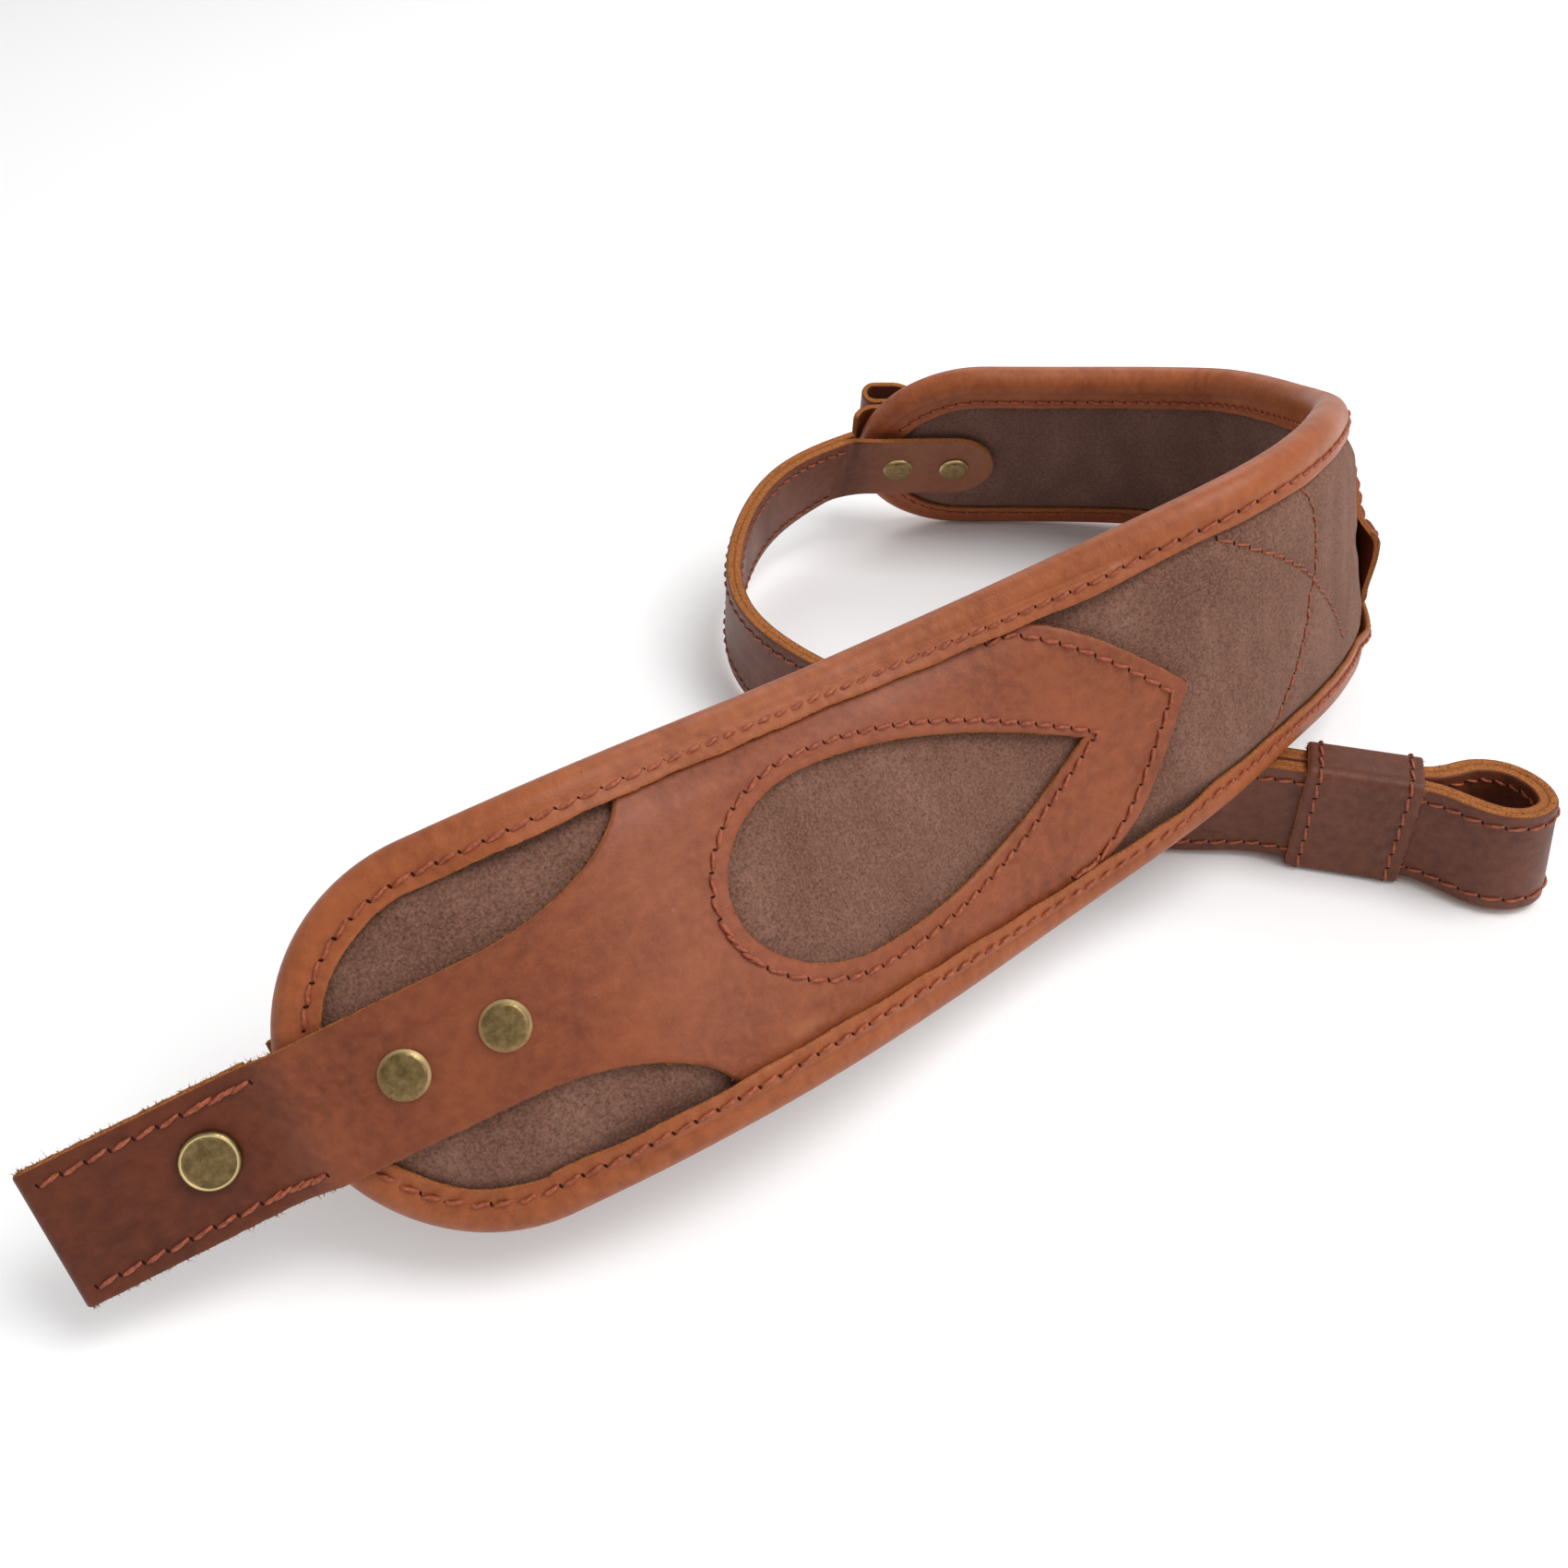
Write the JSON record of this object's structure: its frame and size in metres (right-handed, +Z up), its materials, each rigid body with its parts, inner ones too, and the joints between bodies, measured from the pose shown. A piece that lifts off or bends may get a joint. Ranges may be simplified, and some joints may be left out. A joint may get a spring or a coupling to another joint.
{
  "type": "padded leather shoulder strap",
  "caption": "Curved padded leather and suede shoulder strap with stitched yokes, a folded loop at each end and a doubled tail held by a sliding keeper.",
  "frame": {"origin": "middle of the footprint, on the ground the strap stands on", "axes": "+Z up, +X towards the folded end of the tail, +Y from the front arm to the far arm"},
  "size_m": [0.3342, 0.3438, 0.1107],
  "materials": {
    "yoke_leather": "oiled pull-up leather, smooth grain, satin",
    "binding_leather": "soft grained leather with open pores, satin",
    "strap_leather": "oiled pull-up leather, darker, satin",
    "suede": "brushed suede, matte nap",
    "foam": "closed foam, hidden",
    "thread": "twisted waxed thread",
    "brass": "antique brass, brushed, worn rims"
  },
  "bodies": {
    "pad": {"outer_suede": "suede", "padding": "foam", "inner_suede": "suede", "edge_binding": "binding_leather", "front_yoke": "yoke_leather", "far_yoke": "yoke_leather", "front_tab": "yoke_leather", "far_tab": "yoke_leather", "front_rivet_1_cap": "brass", "front_rivet_1_back": "brass", "front_rivet_2_cap": "brass", "front_rivet_2_back": "brass", "far_rivet_1_cap": "brass", "far_rivet_1_back": "brass", "far_rivet_2_cap": "brass", "far_rivet_2_back": "brass", "rear_loop": "strap_leather", "tail_outer": "strap_leather", "tail_lining": "strap_leather", "binding_seam_upper": "thread", "binding_seam_lower": "thread", "lining_seam_upper": "thread", "lining_seam_lower": "thread", "front_yoke_point_seam": "thread", "front_yoke_window_seam": "thread", "far_yoke_point_seam": "thread", "far_yoke_window_seam": "thread", "quilting_slanted": "thread", "tail_seam_upper": "thread", "tail_seam_lower": "thread"},
    "front_loop": {"front_loop": "strap_leather", "front_loop_seam_upper": "thread", "front_loop_seam_lower": "thread"},
    "stud": {"stud_cap": "brass", "stud_back": "brass"},
    "keeper": {"keeper": "strap_leather"}
  },
  "joints": [
    {"name": "front_loop_flex", "type": "hinge", "parent": "pad", "child": "front_loop", "pos_m": [-0.11928, -0.14941, 0.037], "axis": [-0.4133, 0.3926, 0.8216], "range_deg": [-30, 30]},
    {"name": "stud_turn", "type": "hinge", "parent": "front_loop", "child": "stud", "pos_m": [-0.1329, -0.15334, 0.03324], "axis": [0.1841, -0.8476, 0.4976], "continuous": true},
    {"name": "keeper_slide", "type": "slide", "parent": "pad", "child": "keeper", "axis": [0.9659, -0.259, 0], "range_m": [-0.01, 0]}
  ]
}
